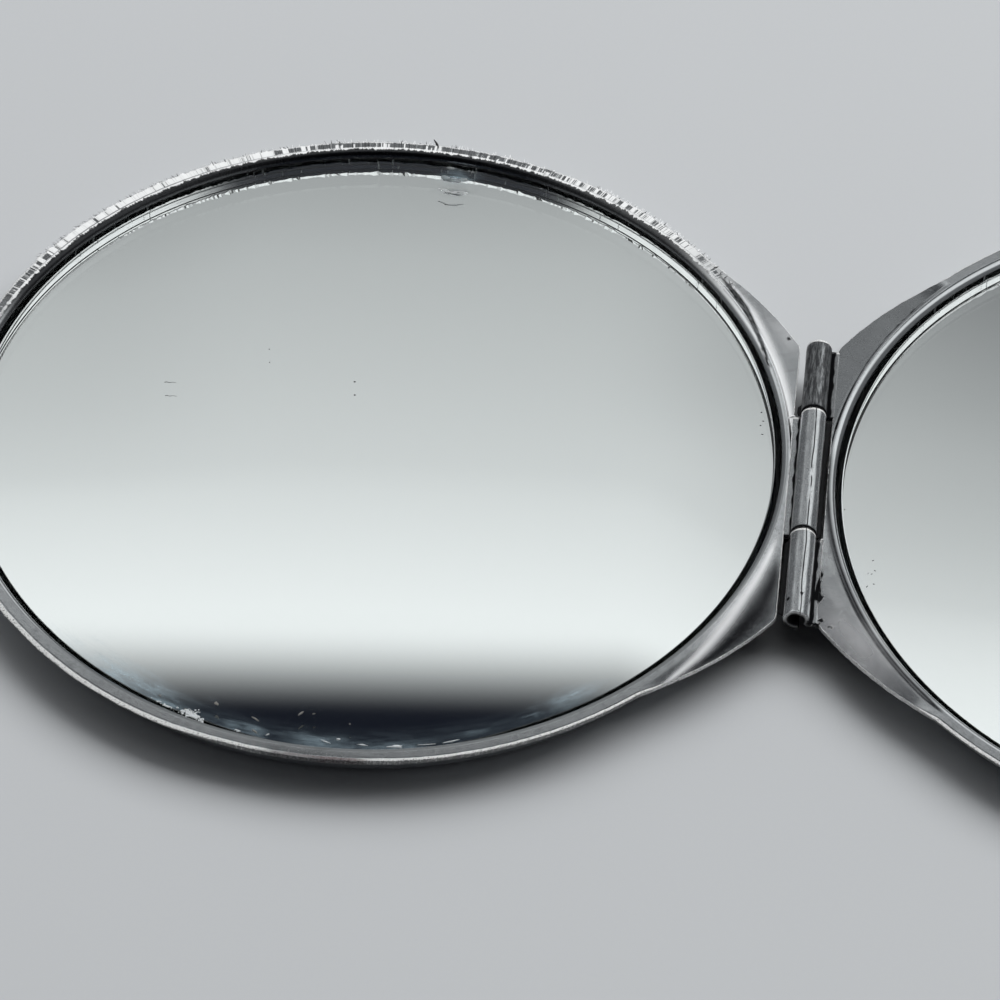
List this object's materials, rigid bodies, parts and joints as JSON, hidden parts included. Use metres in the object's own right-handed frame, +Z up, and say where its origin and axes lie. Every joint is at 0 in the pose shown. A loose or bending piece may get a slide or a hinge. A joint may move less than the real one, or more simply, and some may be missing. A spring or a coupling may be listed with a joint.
{
  "type": "double compact mirror",
  "caption": "Round pocket mirror in two plated sheet-metal covers joined by a rolled knuckle hinge, open flat, with a glass mirror seated in each cover.",
  "frame": {"origin": "on the table at the middle of the open pair, below the hinge", "axes": "+X from the left cover to the right cover, +Y along the hinge pin, +Z up from the table"},
  "size_m": [0.1328, 0.064, 0.0039],
  "materials": {
    "cover_metal": "bright nickel plate, scratched, with raw cut edges",
    "pin_steel": "dull drawn wire",
    "mirror_glass": "clear polished, pale green at the edge",
    "silver_coat": "mirror",
    "backing_paint": "matte grey protective paint",
    "adhesive_pad": "white foam adhesive pad"
  },
  "bodies": {
    "left_half": {"left_cover": "cover_metal", "left_mirror_glass": "mirror_glass", "left_silver_coat": "silver_coat", "left_backing_paint": "backing_paint", "left_adhesive_pad": "adhesive_pad"},
    "right_half": {"right_cover": "cover_metal", "hinge_pin": "pin_steel", "right_mirror_glass": "mirror_glass", "right_silver_coat": "silver_coat", "right_backing_paint": "backing_paint", "right_adhesive_pad": "adhesive_pad"}
  },
  "joints": [
    {"name": "cover_hinge", "type": "hinge", "parent": "left_half", "child": "right_half", "pos_m": [0, 0, 0.00293], "axis": [0, -1, 0], "range_deg": [0, 180]}
  ]
}
